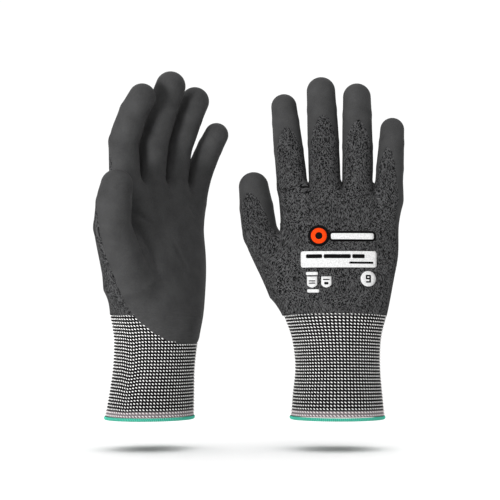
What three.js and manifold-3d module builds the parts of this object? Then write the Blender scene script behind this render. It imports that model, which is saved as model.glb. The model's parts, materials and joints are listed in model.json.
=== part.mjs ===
// A pair of knitted cut resistant work gloves, coated on the palm and fingertips, in millimetres, +Z up.
// Each glove stands on end as a hand would wear it: ribbed cuff at the bottom, fingers up.
// Every finger stall is three shells joined at the knuckles, and each joint is a nested group.
import * as THREE from "three";
import { mergeVertices } from "three/addons/utils/BufferGeometryUtils.js";
import Module from "manifold-3d";

const wasm = await Module();
wasm.setup();
const { Manifold, Mesh: SolidMesh } = wasm;

// ---------------------------------------------------------------- driving dimensions
const KNIT = 1.6; // wall of the knitted liner
const COAT = 0.8; // wall of the dipped coating
const GAP = 0.3; // clearance between touching pieces
const PRINT = 0.4; // thickness of a heat-transfer print
const HEM_HEIGHT = 2.4; // overlocked edge of the cuff
const WRIST = 75; // height of the line where the cuff meets the hand
const WRIST_BOW = 8; // how far the wrist's centre sits towards the palm
const PALM_TOP = 168; // height where the hand closes between the fingers
const COAT_FOOT = 78; // lower edge of the palm coating, above the wrist crease
const PAIR_SPACING = 136.6; // between the two cuff centres
const LEFT_TURN = 49; // degrees that the left glove is turned about its cuff

const HAND_SIDES = 32; // facets round the hand and the cuff
const STALL_SIDES = 12; // facets round a finger stall

// Sections are ovals: height z, centre x and y, half-width a, half-depth b, squareness n (2 is an ellipse).
const CUFF_SECTIONS = [
  { z: 0, x: 0, y: 0, a: 34.3, b: 30.5, n: 2 },
  { z: 15, x: 0.2, y: 1.5, a: 33.1, b: 29.4, n: 2 },
  { z: 42, x: 0.4, y: 4.5, a: 31.4, b: 28.4, n: 2 },
  { z: 60, x: -0.2, y: 6.8, a: 33.4, b: 28.7, n: 2 },
  { z: WRIST, x: -0.9, y: WRIST_BOW, a: 38.0, b: 28.5, n: 2 },
];
const HAND_SECTIONS = [
  { z: WRIST, x: -0.9, y: WRIST_BOW, a: 38.0, b: 28.5, n: 2 },
  { z: 95, x: -0.8, y: 8, a: 41.2, b: 25.5, n: 2.1 },
  { z: 118, x: 0.8, y: 7.2, a: 43.2, b: 21.0, n: 2.2 },
  { z: 140, x: 1.6, y: 6.2, a: 42.8, b: 16.6, n: 2.2 },
  { z: 158, x: 2.3, y: 6, a: 43.5, b: 13.6, n: 2.3 },
  { z: PALM_TOP, x: 2.7, y: 6, a: 43, b: 11.6, n: 2.3 },
];
// The thumb's root swells from inside the wrist to its widest, then narrows to the thumb's pivot.
const THUMB_ROOT = {
  from: [-22, 9, 73.5],
  to: [-56, 18.5, 136],
  foot: 8,
  wide: 17.5,
  wideAt: 20,
  narrow: 13,
};

// A stall: its pivot, its lean in degrees (towards +x), length from pivot to tip, the radii at its
// root, middle and tip, and where its knuckles lie as shares of its length.
const FINGERS = {
  index: { at: [-32.3, 6.5, 171], lean: -5.8, length: 69.2, radii: [11.3, 10.7, 9.8] },
  middle: { at: [-8.2, 6.5, 173], lean: -1.9, length: 80, radii: [11.4, 11, 10.4] },
  ring: { at: [15.9, 6.5, 171.5], lean: 0.2, length: 76.7, radii: [10.9, 10.6, 10.1] },
  little: { at: [38.2, 5.6, 161], lean: 4.4, length: 60.9, radii: [10.0, 9.4, 8.6] },
};
const KNUCKLES = [0, 0.37, 0.69];
const THUMB = {
  at: THUMB_ROOT.to,
  toward: [-6.3, 9, 44],
  twist: -8,
  length: 48,
  radii: [13, 12.4, 11.1],
};
const THUMB_KNUCKLE = 0.42;

// Bend of each joint in degrees: lowest, highest, counted from a straight finger.
const BEND = {
  wrist: [-20, 25],
  knuckle: [-12, 70],
  middle_joint: [0, 80],
  tip_joint: [-10, 57],
  thumb_base: [-12, 25],
  thumb_joint: [0, 50],
};

// How each glove is worn: how far the hand stretches each stall, and its bends at rest in degrees.
const RELAXED = { stretch: 1, bends: [3, 5, 4] };
const RELAXED_THUMB = { stretch: 1, bends: [0, 6] };
const RIGHT = {
  prefix: "right",
  printSide: 1,
  index: RELAXED,
  middle: RELAXED,
  ring: RELAXED,
  little: RELAXED,
  thumb: RELAXED_THUMB,
};
const LEFT = {
  prefix: "left",
  printSide: -1,
  index: { stretch: 1.065, bends: [2, 30, 13] },
  middle: { stretch: 1.015, bends: [10, 16, 4] },
  ring: { stretch: 0.975, bends: [9.5, 18, 5] },
  little: { stretch: 1.02, bends: [15.5, 13, 5] },
  thumb: { stretch: 0.84, bends: [2, 8] },
};

const COLOURS = {
  rib: [0x8f8f8f, 0.9],
  hem: [0x3cc48c, 0.8],
  knit: [0x3c3c3c, 0.92],
  coat: [0x474747, 0.72],
  print: [0xe9e9e9, 0.6],
  accent: [0xee4410, 0.55],
};

// ---------------------------------------------------------------- solids
function toSolid(geometry) {
  const bare = geometry.index ? geometry.clone() : geometry;
  bare.deleteAttribute("normal");
  bare.deleteAttribute("uv");
  const merged = mergeVertices(bare, 1e-4);
  return new Manifold(
    new SolidMesh({
      numProp: 3,
      vertProperties: new Float32Array(merged.attributes.position.array),
      triVerts: new Uint32Array(merged.index.array),
    }),
  );
}

function toGeometry(solid) {
  const mesh = solid.getMesh();
  const geometry = new THREE.BufferGeometry();
  geometry.setAttribute("position", new THREE.BufferAttribute(mesh.vertProperties, 3));
  geometry.setIndex(new THREE.BufferAttribute(mesh.triVerts, 1));
  geometry.computeVertexNormals();
  return geometry;
}

const unite = (solids) => solids.reduce((sum, solid) => sum.add(solid));

// The point of an oval at an angle. A squareness over 2 fills its corners.
function ovalPoint(section, grow, angle) {
  const power = 2 / section.n;
  const c = Math.cos(angle);
  const s = Math.sin(angle);
  return [
    section.x + (section.a + grow) * Math.sign(c) * Math.abs(c) ** power,
    section.y + (section.b + grow) * Math.sign(s) * Math.abs(s) ** power,
    section.z,
  ];
}

// A closed body through the sections, each grown by the same amount.
function loft(sections, grow = 0, sides = HAND_SIDES) {
  const points = [];
  for (const section of sections)
    for (let i = 0; i < sides; i++)
      points.push(...ovalPoint(section, grow, (2 * Math.PI * i) / sides));
  const low = sections[0];
  const high = sections.at(-1);
  points.push(low.x, low.y, low.z, high.x, high.y, high.z);
  const foot = sections.length * sides;
  const faces = [];
  for (let i = 0; i < sides; i++) {
    const next = (i + 1) % sides;
    for (let row = 0; row < sections.length - 1; row++) {
      const a = row * sides + i;
      const b = row * sides + next;
      faces.push(a, b, b + sides, a, b + sides, a + sides);
    }
    const top = (sections.length - 1) * sides;
    faces.push(foot, next, i, foot + 1, top + i, top + next);
  }
  const geometry = new THREE.BufferGeometry();
  geometry.setAttribute("position", new THREE.Float32BufferAttribute(points, 3));
  geometry.setIndex(faces);
  return toSolid(geometry);
}

// The sections with straight stretches added, so that a cutting body passes right through.
function lengthened(sections, below, above) {
  const low = { ...sections[0], z: sections[0].z - below };
  const high = { ...sections.at(-1), z: sections.at(-1).z + above };
  return [...(below ? [low] : []), ...sections, ...(above ? [high] : [])];
}

// A round body about +Z from [radius, height] pairs that start and end on the axis.
function turned(profile, sides = STALL_SIDES) {
  const points = profile.map(([r, z]) => new THREE.Vector2(r, z));
  const geometry = new THREE.LatheGeometry(points, sides);
  geometry.rotateX(Math.PI / 2);
  return toSolid(geometry);
}

// A finger stall's outer form from its pivot up, with a domed tip, grown by an amount.
function stallForm(length, radii, grow, below) {
  const [root, middle, tip] = radii.map((r) => r + grow);
  const shoulder = length - radii[2] * 1.12;
  const dome = [];
  const DOME_STEPS = 3;
  for (let i = 0; i < DOME_STEPS; i++) {
    const angle = (i / DOME_STEPS) * (Math.PI / 2);
    const rise = length + grow - shoulder;
    dome.push([tip * Math.cos(angle), shoulder + rise * Math.sin(angle)]);
  }
  return turned([
    [0, -below],
    [root, -below],
    [root, 0],
    [middle, length * 0.45],
    ...dome,
    [0, length + grow],
  ]);
}

// A bar along x whose y-z outline is given, for the slanted ends of a shell at a knuckle.
function bar(outline, halfWidth) {
  const shape = new THREE.Shape(outline.map(([y, z]) => new THREE.Vector2(y, z)));
  const geometry = new THREE.ExtrudeGeometry(shape, { depth: 2 * halfWidth, bevelEnabled: false });
  geometry.translate(0, 0, -halfWidth);
  geometry.applyMatrix4(
    new THREE.Matrix4().makeBasis(
      new THREE.Vector3(0, 1, 0),
      new THREE.Vector3(0, 0, 1),
      new THREE.Vector3(1, 0, 0),
    ),
  );
  return toSolid(geometry);
}

const slope = (degrees) => Math.tan(THREE.MathUtils.degToRad(degrees));

// Half of each notch belongs to each side of the joint. One degree is left over at both limits.
const notch = ([low, high]) => ({ palm: (high + 2) / 2, back: (2 - low) / 2 });

// The room of one shell between two knuckles: from its own pivot at 0 up to the next one.
function shellRoom(reach, lower, upper, height) {
  const low = notch(lower);
  const foot = [
    [-reach, GAP + reach * slope(low.back)],
    [0, GAP],
    [reach, GAP + reach * slope(low.palm)],
  ];
  const far = height ?? 200;
  const high = upper ? notch(upper) : { palm: 0, back: 0 };
  const head = [
    [reach, far - GAP - reach * slope(high.palm)],
    [0, far - GAP],
    [-reach, far - GAP - reach * slope(high.back)],
  ];
  return bar([...foot, ...head], reach + 2);
}

// What a joint's notch takes off the hand below it.
function notchCutter(reach, halfWidth, bend, top) {
  const side = notch(bend);
  return bar(
    [
      [-reach, -GAP - reach * slope(side.back)],
      [0, -GAP],
      [reach, -GAP - reach * slope(side.palm)],
      [reach, top],
      [-reach, top],
    ],
    halfWidth,
  );
}

// ---------------------------------------------------------------- places
const Z_AXIS = new THREE.Vector3(0, 0, 1);

// The pose of a finger's knuckle: leaned in the plane of the hand, then bent towards the palm (+y).
function fingerPlace(finger, bend) {
  const group = new THREE.Group();
  group.position.set(...finger.at);
  group.rotation.order = "YXZ";
  group.rotation.y = THREE.MathUtils.degToRad(finger.lean);
  group.rotation.x = -THREE.MathUtils.degToRad(bend);
  return group;
}

function thumbPlace(bend) {
  const group = new THREE.Group();
  const along = new THREE.Vector3(...THUMB.toward).normalize();
  const twist = new THREE.Quaternion().setFromAxisAngle(
    Z_AXIS,
    THREE.MathUtils.degToRad(THUMB.twist),
  );
  group.position.set(...THUMB.at);
  group.quaternion.setFromUnitVectors(Z_AXIS, along).multiply(twist);
  group.rotateX(-THREE.MathUtils.degToRad(bend));
  return group;
}

// Moves a solid that was made at a joint's pivot to the joint's place in the hand.
function atPlace(solid, place) {
  place.updateMatrix();
  return solid.transform(place.matrix.elements);
}

function mesh(name, solid, [colour, roughness], place) {
  const material = new THREE.MeshStandardMaterial({ color: colour, roughness, metalness: 0 });
  const made = new THREE.Mesh(toGeometry(solid), material);
  made.name = name;
  place.add(made);
  return made;
}

// ---------------------------------------------------------------- hand
// The tapered root of the thumb, from inside the palm to the thumb's pivot.
function thumbRoot(grow, beyond) {
  const from = new THREE.Vector3(...THUMB_ROOT.from);
  const to = new THREE.Vector3(...THUMB_ROOT.to);
  const along = to.clone().sub(from);
  const length = along.length();
  const cone = turned(
    [
      [0, 0],
      [THUMB_ROOT.foot + grow, 0],
      [THUMB_ROOT.wide + grow, THUMB_ROOT.wideAt],
      [THUMB_ROOT.narrow + grow, length - 4],
      [THUMB_ROOT.narrow + grow, length + beyond],
      [0, length + beyond],
    ],
    HAND_SIDES / 2,
  );
  const turn = new THREE.Matrix4().makeRotationFromQuaternion(
    new THREE.Quaternion().setFromUnitVectors(Z_AXIS, along.normalize()),
  );
  return cone.transform(turn.setPosition(from).elements);
}

// The short root of a finger stall that the hand carries below the knuckle.
function fingerRoot(finger, grow, beyond) {
  const ROOT_DEPTH = 20;
  const radius = finger.radii[0] + grow;
  const stub = turned([
    [0, -ROOT_DEPTH - grow],
    [radius, -ROOT_DEPTH - grow],
    [radius, beyond],
    [0, beyond],
  ]);
  return atPlace(stub, fingerPlace(finger, 0));
}

// The hand's closed form, grown by an amount. Cutting forms reach beyond the open ends.
function handForm(grow, beyond = 0) {
  const top = { ...HAND_SECTIONS.at(-1), z: PALM_TOP + Math.min(grow, 0) };
  const palm = loft(lengthened([...HAND_SECTIONS.slice(0, -1), top], beyond, 0), grow);
  const roots = Object.values(FINGERS).map((finger) => fingerRoot(finger, grow, beyond));
  return unite([palm, ...roots, thumbRoot(grow, beyond)]);
}

// All the notches that the wrist, knuckle and thumb joints need in the hand.
function handNotches() {
  const cuts = Object.values(FINGERS).map((finger) =>
    atPlace(notchCutter(24, finger.radii[0] + 1.7, BEND.knuckle, 30), fingerPlace(finger, 0)),
  );
  cuts.push(atPlace(notchCutter(17, 17, BEND.thumb_base, 20), thumbPlace(0)));
  return unite(cuts);
}

// The room above the wrist crease, which bends both ways.
function aboveWrist() {
  const room = shellRoom(60, BEND.wrist, null, 130);
  return room.translate([0, WRIST_BOW, WRIST]);
}

function handLiner() {
  return handForm(0)
    .subtract(handForm(-KNIT, 6))
    .subtract(handNotches())
    .intersect(aboveWrist());
}

// The coating covers the palm's side of the hand and wraps just past its edges.
function palmCoating() {
  const inner = GAP;
  const outer = GAP + COAT;
  const palmSide = bar(
    [
      [1.5, COAT_FOOT],
      [60, COAT_FOOT],
      [60, PALM_TOP - 1],
      [1.5, PALM_TOP - 1],
    ],
    90,
  );
  return handForm(outer)
    .subtract(handForm(inner, 6))
    .intersect(palmSide)
    .subtract(handNotches())
    .intersect(aboveWrist());
}

// ---------------------------------------------------------------- prints on the back of the hand
// Every outline is in the x-z plane about its own centre. No print carries a word or a mark.
function roundedPanel(width, height, corner) {
  const x = width / 2 - corner;
  const z = height / 2 - corner;
  const quarter = Math.PI / 2;
  return new THREE.Shape()
    .absarc(x, z, corner, 0, quarter)
    .absarc(-x, z, corner, quarter, 2 * quarter)
    .absarc(-x, -z, corner, 2 * quarter, 3 * quarter)
    .absarc(x, -z, corner, 3 * quarter, 4 * quarter);
}

function disc(radius) {
  return new THREE.Shape().absarc(0, 0, radius, 0, 2 * Math.PI);
}

function shield(width, height) {
  const w = width / 2;
  const top = height / 2;
  return new THREE.Shape()
    .moveTo(-w, top)
    .lineTo(-w, -top * 0.3)
    .quadraticCurveTo(-w, -top * 0.75, 0, -top)
    .quadraticCurveTo(w, -top * 0.75, w, -top * 0.3)
    .lineTo(w, top);
}

const PRINTS = {
  badge_roundel: { x: -13.7, z: 132.5, outline: disc(7), colour: COLOURS.accent },
  name_strip: { x: 10.2, z: 132.3, outline: roundedPanel(31.6, 5.2, 2), colour: COLOURS.print },
  label_panel: { x: 0.6, z: 115.4, outline: roundedPanel(54.8, 11.6, 1.5), colour: COLOURS.print },
  shield_mark_a: { x: -18.7, z: 98.9, outline: shield(7, 7.8), colour: COLOURS.print },
  shield_mark_b: { x: -8.7, z: 98.9, outline: shield(7, 7.8), colour: COLOURS.print },
  size_roundel: { x: 21.6, z: 101.2, outline: disc(5.5), colour: COLOURS.print },
};

// A print is the slice of its outline that lies just outside the liner's back.
function printPatch({ x, z, outline }, side) {
  const geometry = new THREE.ExtrudeGeometry(outline, {
    depth: 40,
    bevelEnabled: false,
    curveSegments: 6,
  });
  geometry.rotateX(Math.PI / 2);
  geometry.translate(x * side, 0, z);
  const skin = loft(HAND_SECTIONS, GAP + PRINT).subtract(
    loft(lengthened(HAND_SECTIONS, 1, 1), GAP),
  );
  return toSolid(geometry).intersect(skin);
}

// ---------------------------------------------------------------- glove
function buildCuff(glove, place) {
  const bore = lengthened(CUFF_SECTIONS, 4, 4);
  const tube = loft(CUFF_SECTIONS).subtract(loft(bore, -KNIT));
  const side = notch(BEND.wrist);
  const REACH = 60;
  const room = bar(
    [
      [-REACH, HEM_HEIGHT + GAP],
      [REACH, HEM_HEIGHT + GAP],
      [REACH, WRIST - GAP - REACH * slope(side.palm)],
      [0, WRIST - GAP],
      [-REACH, WRIST - GAP - REACH * slope(side.back)],
    ],
    70,
  ).translate([0, WRIST_BOW, 0]);
  mesh(`${glove.prefix}_ribbed_cuff`, tube.intersect(room), COLOURS.rib, place);

  const foot = { ...CUFF_SECTIONS[0] };
  const hem = loft([foot, { ...foot, z: HEM_HEIGHT }], 0.6);
  const opening = loft([{ ...foot, z: -1 }, { ...foot, z: HEM_HEIGHT + 1 }], -KNIT - 0.2);
  mesh(`${glove.prefix}_overlock_hem`, hem.subtract(opening), COLOURS.hem, place);
}

// One stall: a shell per knuckle, each in a group turned about that knuckle, and a dipped tip.
function buildStall(glove, name, first, length, radii, joints) {
  let place = first;
  const whole = stallForm(length, radii, 0, 2);
  const bore = stallForm(length, radii, -KNIT, 4);
  const hollow = whole.subtract(bore);
  const reach = radii[0] + 0.6;
  joints.forEach(({ at, title, bend, rest }, i) => {
    const start = at * length;
    const next = joints[i + 1];
    if (i > 0) {
      const group = new THREE.Group();
      group.position.z = start - joints[i - 1].at * length;
      group.rotation.x = -THREE.MathUtils.degToRad(rest);
      place.add(group);
      place = group;
    }
    place.name = `${glove.prefix}_${name}_${title}_joint`;
    const room = shellRoom(reach, bend, next?.bend, next && next.at * length - start);
    const shell = hollow.translate([0, 0, -start]).intersect(room);
    mesh(`${glove.prefix}_${name}_${title}_stall`, shell, COLOURS.knit, place);
    if (!next) {
      const coat = stallForm(length, radii, GAP + COAT, 2)
        .subtract(stallForm(length, radii, GAP, 4))
        .translate([0, 0, -start])
        .intersect(shellRoom(reach + 2, bend, null, 200).translate([0, 0, 1]));
      mesh(`${glove.prefix}_${name}_tip_coating`, coat, COLOURS.coat, place);
    }
  });
}

function buildGlove(glove) {
  const whole = new THREE.Group();
  buildCuff(glove, whole);

  const hand = new THREE.Group();
  hand.name = `${glove.prefix}_wrist_joint`;
  hand.position.set(0, WRIST_BOW, WRIST);
  const onHand = new THREE.Group();
  onHand.position.set(0, -WRIST_BOW, -WRIST);
  hand.add(onHand);
  whole.add(hand);
  mesh(`${glove.prefix}_hand_liner`, handLiner(), COLOURS.knit, onHand);
  mesh(`${glove.prefix}_palm_coating`, palmCoating(), COLOURS.coat, onHand);
  for (const [title, print] of Object.entries(PRINTS)) {
    const patch = printPatch(print, glove.printSide);
    mesh(`${glove.prefix}_${title}`, patch, print.colour, onHand);
  }

  for (const [name, finger] of Object.entries(FINGERS)) {
    const { stretch, bends } = glove[name];
    const place = fingerPlace(finger, bends[0]);
    onHand.add(place);
    buildStall(glove, name, place, finger.length * stretch, finger.radii, [
      { at: KNUCKLES[0], title: "base", bend: BEND.knuckle },
      { at: KNUCKLES[1], title: "middle", bend: BEND.middle_joint, rest: bends[1] },
      { at: KNUCKLES[2], title: "tip", bend: BEND.tip_joint, rest: bends[2] },
    ]);
  }
  const { stretch, bends } = glove.thumb;
  const thumb = thumbPlace(bends[0]);
  onHand.add(thumb);
  buildStall(glove, "thumb", thumb, THUMB.length * stretch, THUMB.radii, [
    { at: 0, title: "base", bend: BEND.thumb_base },
    { at: THUMB_KNUCKLE, title: "tip", bend: BEND.thumb_joint, rest: bends[1] },
  ]);
  return whole;
}

const pair = new THREE.Group();
pair.add(buildGlove(RIGHT));

// The left glove is the right one's mirror image, turned to show its palm.
const left = buildGlove(LEFT);
left.scale.y = -1;
left.rotation.z = THREE.MathUtils.degToRad(LEFT_TURN);
left.position.x = -PAIR_SPACING;
pair.add(left);

export default pair;
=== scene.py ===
"""A pair of knitted cut resistant gloves with a dipped palm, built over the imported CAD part."""

import json
import math
from itertools import product

import bpy
import numpy as np
from mathutils import Vector
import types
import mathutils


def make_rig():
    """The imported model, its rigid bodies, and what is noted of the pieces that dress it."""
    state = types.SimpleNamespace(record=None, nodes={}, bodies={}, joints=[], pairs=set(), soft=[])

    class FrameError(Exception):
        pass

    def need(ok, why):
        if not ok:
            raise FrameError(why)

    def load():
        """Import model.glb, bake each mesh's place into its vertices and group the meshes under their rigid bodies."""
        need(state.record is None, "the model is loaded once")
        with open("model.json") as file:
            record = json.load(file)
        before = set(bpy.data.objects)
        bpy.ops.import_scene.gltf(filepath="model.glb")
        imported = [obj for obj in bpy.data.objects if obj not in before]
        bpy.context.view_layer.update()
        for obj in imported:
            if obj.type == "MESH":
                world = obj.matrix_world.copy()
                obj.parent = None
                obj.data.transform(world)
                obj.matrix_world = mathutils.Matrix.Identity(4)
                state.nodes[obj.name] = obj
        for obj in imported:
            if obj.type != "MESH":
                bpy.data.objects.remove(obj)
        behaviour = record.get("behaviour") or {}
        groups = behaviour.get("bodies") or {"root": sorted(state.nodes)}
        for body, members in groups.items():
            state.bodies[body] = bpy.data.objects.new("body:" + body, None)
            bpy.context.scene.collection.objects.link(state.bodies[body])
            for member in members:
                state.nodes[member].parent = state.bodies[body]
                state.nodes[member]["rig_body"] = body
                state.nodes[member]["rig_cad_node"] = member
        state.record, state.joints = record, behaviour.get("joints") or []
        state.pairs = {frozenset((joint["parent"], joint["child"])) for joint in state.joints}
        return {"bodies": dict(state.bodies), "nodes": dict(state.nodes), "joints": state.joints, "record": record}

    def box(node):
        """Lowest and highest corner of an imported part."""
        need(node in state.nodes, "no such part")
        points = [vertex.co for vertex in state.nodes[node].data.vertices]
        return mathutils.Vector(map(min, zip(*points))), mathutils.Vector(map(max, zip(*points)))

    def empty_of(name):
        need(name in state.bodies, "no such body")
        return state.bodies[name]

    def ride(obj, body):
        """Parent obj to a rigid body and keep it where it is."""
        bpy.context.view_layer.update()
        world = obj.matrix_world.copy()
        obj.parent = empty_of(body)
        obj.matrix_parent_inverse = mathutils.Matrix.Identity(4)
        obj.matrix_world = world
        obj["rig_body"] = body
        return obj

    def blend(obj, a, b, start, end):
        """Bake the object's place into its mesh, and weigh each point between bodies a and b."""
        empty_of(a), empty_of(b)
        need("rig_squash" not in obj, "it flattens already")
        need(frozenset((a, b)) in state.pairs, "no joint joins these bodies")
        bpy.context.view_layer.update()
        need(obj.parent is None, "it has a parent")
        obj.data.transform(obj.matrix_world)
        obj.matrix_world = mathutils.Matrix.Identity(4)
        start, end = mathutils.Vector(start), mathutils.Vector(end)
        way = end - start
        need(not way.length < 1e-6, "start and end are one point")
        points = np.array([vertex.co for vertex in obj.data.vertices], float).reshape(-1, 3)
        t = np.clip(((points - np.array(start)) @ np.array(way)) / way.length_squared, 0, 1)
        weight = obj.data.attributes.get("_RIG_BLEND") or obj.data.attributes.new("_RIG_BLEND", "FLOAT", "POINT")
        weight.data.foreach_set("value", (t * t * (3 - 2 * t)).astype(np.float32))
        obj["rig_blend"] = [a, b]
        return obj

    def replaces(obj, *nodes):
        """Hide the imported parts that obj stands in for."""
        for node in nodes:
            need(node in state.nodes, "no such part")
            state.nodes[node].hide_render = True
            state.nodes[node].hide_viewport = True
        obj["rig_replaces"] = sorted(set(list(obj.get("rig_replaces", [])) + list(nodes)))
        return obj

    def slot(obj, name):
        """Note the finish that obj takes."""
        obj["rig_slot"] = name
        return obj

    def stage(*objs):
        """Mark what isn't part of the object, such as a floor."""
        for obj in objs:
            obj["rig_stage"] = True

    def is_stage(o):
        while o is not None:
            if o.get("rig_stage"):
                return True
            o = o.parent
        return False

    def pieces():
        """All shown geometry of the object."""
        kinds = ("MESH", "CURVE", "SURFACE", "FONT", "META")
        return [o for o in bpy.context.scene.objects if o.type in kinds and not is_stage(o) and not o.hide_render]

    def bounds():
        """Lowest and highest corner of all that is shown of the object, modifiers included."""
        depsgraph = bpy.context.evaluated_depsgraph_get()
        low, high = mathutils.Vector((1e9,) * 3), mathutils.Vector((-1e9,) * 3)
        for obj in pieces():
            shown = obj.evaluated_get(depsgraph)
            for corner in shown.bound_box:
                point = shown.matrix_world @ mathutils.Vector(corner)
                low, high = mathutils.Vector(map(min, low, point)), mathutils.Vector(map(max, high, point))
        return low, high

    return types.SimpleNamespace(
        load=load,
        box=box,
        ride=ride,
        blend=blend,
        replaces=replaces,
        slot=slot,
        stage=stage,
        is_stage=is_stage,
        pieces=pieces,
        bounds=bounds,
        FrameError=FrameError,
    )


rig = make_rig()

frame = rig.load()
cad_low, cad_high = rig.bounds()

# ---------------------------------------------------------------- camera, light and floor, in metres
CAMERA_AT = (-0.0636, -1.0, 0.070)
CAMERA_AIM = (-0.0636, 0.0, 0.1228)
LENS = 98.5
SENSOR_WIDTH = 36
LIGHT_AIM = (-0.07, 0, 0.12)
FLOOR_DROP = 0.022  # the gloves stand this far above the floor
FLOOR_RADIUS = 0.42
FLOOR_SIDES = 96

camera_data = bpy.data.cameras.new("camera")
camera_data.lens = LENS
camera_data.sensor_width = SENSOR_WIDTH
camera = bpy.data.objects.new("camera", camera_data)
bpy.context.scene.collection.objects.link(camera)
camera.location = CAMERA_AT
bpy.context.scene.camera = camera
bpy.context.scene.view_settings.view_transform = "Standard"


def turn_towards(thing, aim):
    """Turns a camera or a light to look at a point."""
    thing.rotation_euler = (Vector(aim) - thing.location).to_track_quat("-Z", "Y").to_euler()


def area_light(name, at, aim, width, depth, watts):
    data = bpy.data.lights.new(name, "AREA")
    data.shape = "ELLIPSE"
    data.size = width
    data.size_y = depth
    data.energy = watts
    light = bpy.data.objects.new(name, data)
    light.location = at
    turn_towards(light, aim)
    bpy.context.scene.collection.objects.link(light)


turn_towards(camera, CAMERA_AIM)
area_light("light_above", (-0.07, 0, 1.25), LIGHT_AIM, 3.4, 4.2, 49)
area_light("light_left", (-1.05, -1.4, -0.12), LIGHT_AIM, 0.5, 0.5, 34)

# The studio is white behind the gloves up to eye level, and dimmer overhead and in front of them.
BACKDROP_LIGHT = 1.04
ROOM_LIGHT = 0.5
OVERHEAD_LIGHT = 0.22
ROOM_FADE = (-0.7, 0.05)  # from the room in front to the backdrop behind, as the y of a unit direction
OVERHEAD_FADE = (0.3, 0.42)  # from eye level to overhead, as its z
world = bpy.data.worlds.new("studio")
world.use_nodes = True
sky = world.node_tree
direction = sky.nodes.new("ShaderNodeTexCoord")
direction_axes = sky.nodes.new("ShaderNodeSeparateXYZ")
sky.links.new(direction.outputs["Generated"], direction_axes.inputs[0])


def sky_fade(axis, places, last):
    """A node whose brightness changes between two places along an axis, to the last brightness."""
    node = sky.nodes.new("ShaderNodeMapRange")
    node.inputs["From Min"].default_value = places[0]
    node.inputs["From Max"].default_value = places[1]
    node.inputs["To Max"].default_value = last
    sky.links.new(direction_axes.outputs[axis], node.inputs["Value"])
    return node


level = sky_fade("Y", ROOM_FADE, BACKDROP_LIGHT)
level.inputs["To Min"].default_value = ROOM_LIGHT
strength = sky_fade("Z", OVERHEAD_FADE, OVERHEAD_LIGHT)
sky.links.new(level.outputs[0], strength.inputs["To Min"])
sky.links.new(strength.outputs[0], sky.nodes["Background"].inputs["Strength"])
sky.nodes["Background"].inputs["Color"].default_value = (1, 1, 1, 1)
bpy.context.scene.world = world

# ---------------------------------------------------------------- dimensions, in millimetres
# Ovals up the glove: height, centre x and y, half-width, half-depth, squareness.
SECTIONS = np.array(
    [
        (0, 0.0, 0.0, 34.3, 30.5, 2.0),
        (15, 0.2, 1.5, 33.1, 29.4, 2.0),
        (42, 0.4, 4.5, 31.4, 28.4, 2.0),
        (60, -0.2, 6.8, 33.4, 28.7, 2.0),
        (75, -0.9, 8.0, 38.0, 28.5, 2.0),
        (95, -0.4, 8.0, 41.6, 25.5, 2.1),
        (118, 1.3, 7.2, 43.7, 21.0, 2.2),
        (140, 2.2, 6.2, 43.4, 16.6, 2.2),
        (158, 2.8, 6.0, 44.0, 13.6, 2.2),
        (168, 3.0, 6.0, 43.4, 11.6, 2.2),
    ]
)
PALM_TOP = 169.5  # the palm closes here between the fingers
# Radii of each stall, with its yarn: at its root, near its middle and at its tip.
FINGER_RADII = {
    "index": (11.0, 10.3, 9.1),
    "middle": (11.4, 11.1, 10.2),
    "ring": (11.0, 10.8, 10.0),
    "little": (10.1, 9.5, 8.5),
    "thumb": (12.8, 12.1, 10.8),
}
FINGERS = ("index", "middle", "ring", "little")
MIDDLE_RADIUS_AT = 0.45  # the share of a stall's length at which it has its middle radius
FINGER_ROOT = 18.0  # a finger's root reaches this far down into the palm
# The thumb's root: its foot, from the wrist joint, and its radii at shares of the way to its pivot.
THUMB_FOOT = np.array((-21.0, 1.0, -1.5))
THUMB_ROOT_SHARES = (0.0, 0.37)
THUMB_ROOT_RADII = (6.0, 17.0)
# How widely forms run into one another.
PALM_TOP_BLEND = 8.0
FINGER_BLEND = 6.0
KNUCKLE_BLEND = 1.0
THUMB_BLEND = ((95, 125), (11.0, 5.0))  # heights, and the width at each

STEP = 1.2  # spacing of the surface's grid
GRID_MARGIN = 16  # the grid reaches this far past the centre lines of the fingers
PALM_LOW = (-60.0, -26.0)  # and it holds the palm, from here in x and y
PALM_HIGH = (60.0, 42.0)  # to here
GRID_BELOW_BEND = 8  # it starts this far below the bend of the wrist
CLEFT_REACH = 3  # it is finer this near to the line between two fingers
COAT = 0.45  # how far the dipped coating stands proud of the knit
CUFF_TOP = 75.0
HEM_HEIGHT = 2.4
COURSES = 32
COURSE_HEIGHT = (CUFF_TOP - HEM_HEIGHT) / COURSES
STITCHES = 82
WRIST_BEND = (57.0, 91.0)  # the fabric bends between these heights

JOINTS = {j["name"]: j for j in frame["joints"]}


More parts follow.
